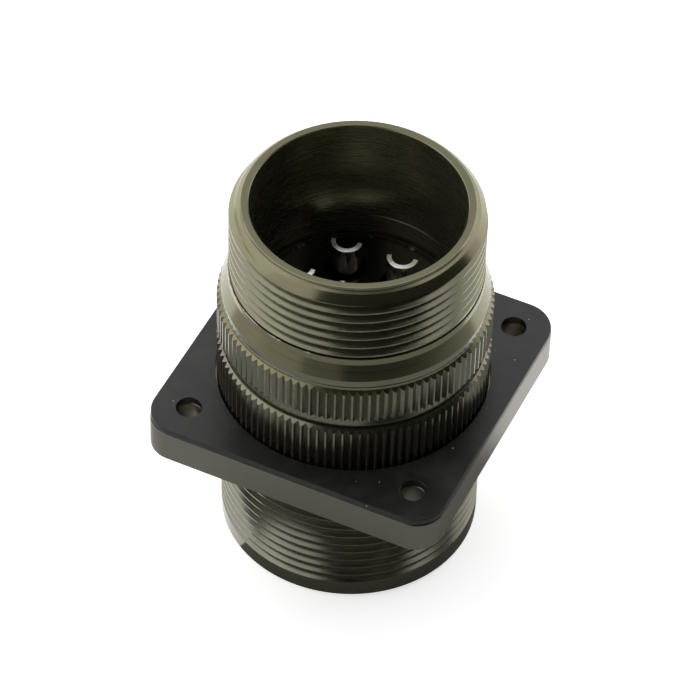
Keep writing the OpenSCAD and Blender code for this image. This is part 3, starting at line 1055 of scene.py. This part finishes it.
def add_softbox(name, azimuth, rise, size, radiance):
    """A large square lamp that faces the connector and isn't seen itself."""
    distance = 0.7
    place = Vector((math.sin(azimuth) * math.cos(rise), -math.cos(azimuth) * math.cos(rise),
                    math.sin(rise))) * distance
    deselect()
    bpy.ops.object.light_add(type="AREA", location=place)
    lamp = bpy.context.object
    lamp.name = name
    middle = Vector((0, 0, 30 * MM))
    lamp.rotation_euler = (middle - place).to_track_quat("-Z", "Y").to_euler()
    lamp.data.shape = "SQUARE"
    lamp.data.size = size
    lamp.data.energy = radiance * math.pi * size ** 2
    lamp.visible_camera = False


def add_card(name, first, second, start, sweep_turn, material):
    """Part of a ring round the connector, swept from one straight line.

    first and second are the [radius, height] ends of the line.
    """
    deselect()
    bpy.ops.mesh.primitive_plane_add(size=1, location=(0, 0, 0))
    card = bpy.context.object
    card.name = name
    for vertex in card.data.vertices:
        radius, height = second if vertex.co.y > 0 else first
        vertex.co = (radius * math.cos(start), radius * math.sin(start), height)
    tidy_mesh(card)
    activate(card)
    sweep = card.modifiers.new("sweep", "SCREW")
    sweep.axis = "Z"
    sweep.angle = sweep_turn
    sweep.steps = 48
    sweep.render_steps = 48
    bpy.ops.object.modifier_apply(modifier=sweep.name)
    card.visible_camera = False
    card.data.materials.append(material)
    return card


class CONNECTOR_OT_stage(Operator):
    """Builds the floor, the soft lamps, the dark screen, the world and the camera"""

    bl_idname = "connector.stage"
    bl_label = "Stage"

    def execute(self, context):
        scene = context.scene
        settings = scene.connector_stage
        right, up, back, side = camera_axes(settings)
        target = side * settings.target_x + Vector((0, 0, settings.target_z))
        deselect()
        bpy.ops.object.camera_add(location=target + back * settings.distance)
        camera = context.object
        camera.rotation_mode = "QUATERNION"
        camera.rotation_quaternion = Matrix((right, up, back)).transposed().to_quaternion()
        camera.data.sensor_width = 36
        camera.data.lens = settings.focal
        camera.data.shift_x = settings.shift_x
        camera.data.shift_y = settings.shift_y
        camera.data.clip_start = 0.01
        camera.data.clip_end = 10
        scene.camera = camera
        scene.view_settings.view_transform = "Standard"
        deselect()
        bpy.ops.mesh.primitive_plane_add(size=3, location=(0, 0, 0))
        floor = context.object
        floor.name = "floor"
        floor.data.materials.append(white_paper())
        world = bpy.data.worlds.new("studio")
        world.use_nodes = True
        scene.world = world
        fill_inputs(world.node_tree, world.node_tree.nodes["Background"],
                    {"Color": (1, 1, 1, 1), "Strength": 1.0})
        black = studio_cloth("black_cloth", settings.black_cloth)
        grey = studio_cloth("grey_cloth", settings.grey_cloth)
        table = studio_cloth("table_cloth", settings.table_cloth)
        near = studio_cloth("near_cloth", settings.near_cloth)
        far = studio_cloth("far_cloth", settings.far_cloth)
        screen_r, high = settings.dark_radius, settings.dark_height
        side_r, grey_z = screen_r - 5 * MM, high + 2 * MM
        canopy_r, near_r = settings.canopy_radius, settings.near_radius
        card_r, level = settings.card_radius, 0.2 * MM
        start, middle, end = (math.degrees(turn) for turn in (
            settings.dark_from, settings.dark_step, settings.dark_to))
        front = settings.azimuth - math.pi / 2
        for name, cloth, first, second, turn_from, turn_to in (
                ("dark_screen", black, (screen_r, 0), (screen_r, high), start, middle),
                ("low_screen", black, (screen_r, 0), (screen_r, settings.low_height),
                 middle, end),
                ("dark_canopy", black, (screen_r, high), (canopy_r, high), -25, 45),
                ("grey_canopy", grey, (screen_r, grey_z), (canopy_r - 40 * MM, grey_z),
                 -35, 75),
                ("side_card", grey, (side_r, 0), (side_r, 150 * MM), start - 5,
                 start + 25),
                ("side_table", grey, (screen_r, level), (2 * screen_r, level),
                 start - 40, start),
                # Painted shade: the near and table cards lie on the floor unseen by the
                # camera and by diffuse light, so reflections show the floor darker by the
                # connector.
                ("near_floor_shade_card", near, (near_r, level), (card_r, level), start - 25, end),
                ("outer_floor_shade_card", table, (card_r, level), (screen_r, level), start - 70,
                 end),
                ("far_table", far, (screen_r, level), (3 * screen_r, level), start - 95,
                 start - 40)):
            card = add_card(name, first, second, front + math.radians(turn_from),
                            math.radians(turn_to - turn_from), cloth)
            if second[1] == level:
                card.visible_diffuse = False
                card.visible_shadow = False
        for name, turn, rise, size, radiance in (
                ("left_softbox", -100, 40, 0.6, 0.4),
                ("back_left_softbox", -150, 18, 0.5, 0.8),
                ("back_right_softbox", 135, 20, 0.5, 0.5)):
            add_softbox(name, settings.azimuth + math.radians(turn), math.radians(rise),
                        size, radiance)
        return {"FINISHED"}


class CONNECTOR_PT_panel(Panel):
    bl_label = "Circular Connector"
    bl_idname = "CONNECTOR_PT_panel"
    bl_space_type = "VIEW_3D"
    bl_region_type = "UI"
    bl_category = "Connector"

    def draw(self, context):
        for operator in OPERATORS:
            self.layout.operator(operator.bl_idname)


OPERATORS = (CONNECTOR_OT_stage, CONNECTOR_OT_shell, CONNECTOR_OT_bell,
             CONNECTOR_OT_gasket, CONNECTOR_OT_inserts, CONNECTOR_OT_ring,
             CONNECTOR_OT_contacts)
GROUPS = {
    "connector_threads": ThreadSizes,
    "connector_knurls": KnurlSizes,
    "connector_shell": ShellSizes,
    "connector_bell": BellSizes,
    "connector_inserts": InsertSizes,
    "connector_contacts": ContactSizes,
    "connector_finishes": Finishes,
    "connector_stage": StageSettings,
}


def register():
    """Registers the classes and hangs each group of settings on the scene."""
    for name, group in GROUPS.items():
        bpy.utils.register_class(group)
        setattr(bpy.types.Scene, name, PointerProperty(type=group))
    for item in (*OPERATORS, CONNECTOR_PT_panel):
        bpy.utils.register_class(item)


def unregister():
    """Removes what register added."""
    for item in (CONNECTOR_PT_panel, *reversed(OPERATORS)):
        bpy.utils.unregister_class(item)
    for name, group in reversed(GROUPS.items()):
        delattr(bpy.types.Scene, name)
        bpy.utils.unregister_class(group)


def main():
    """Builds everything."""
    register()
    for operator in OPERATORS:
        group, name = operator.bl_idname.split(".")
        getattr(getattr(bpy.ops, group), name)()


if __name__ == "__main__":
    main()
